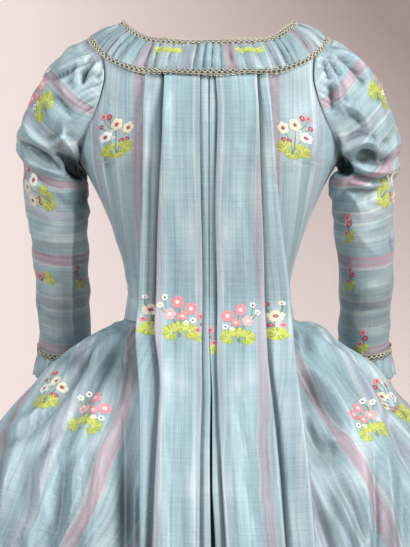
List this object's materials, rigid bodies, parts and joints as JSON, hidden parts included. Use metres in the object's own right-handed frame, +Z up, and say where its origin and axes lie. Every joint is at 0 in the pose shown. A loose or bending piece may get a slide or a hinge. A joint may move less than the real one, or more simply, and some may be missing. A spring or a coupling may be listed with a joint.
{
  "type": "robe a la francaise",
  "caption": "Worn open gown of striped flowered silk with box pleats from neck to hem at the back, elbow sleeves with frilled cuffs, and a skirt open in front.",
  "frame": {"origin": "between the shoulders at the height of the shoulder seams, where the wearer holds the gown up", "axes": "+Z up, +Y the way the wearer faces, +X to the wearer's right; the pleated back faces -Y"},
  "size_m": [0.9596, 0.7432, 1.3883],
  "materials": {
    "silk": "crisp changeable silk taffeta, sea green, woven with stripes and sprays of flowers",
    "gimp": "looped gimp trim in cream and gold silk",
    "lace": "cream bobbin lace on fine net"
  },
  "bodies": {
    "root": {"back_left": "silk", "back_right": "silk", "front_left": "silk", "front_right": "silk", "pleats_left": "silk", "pleats_right": "silk", "skirt_left": "silk", "skirt_right": "silk", "neck_band": "silk", "robing_left": "silk", "robing_right": "silk", "sleeve_left": "silk", "sleeve_right": "silk", "cuff_left": "silk", "cuff_right": "silk", "trim_neck_inner": "gimp", "trim_neck_outer": "gimp", "cuff_trim_left": "gimp", "cuff_trim_right": "gimp", "lace_left": "lace", "lace_right": "lace"}
  },
  "joints": []
}
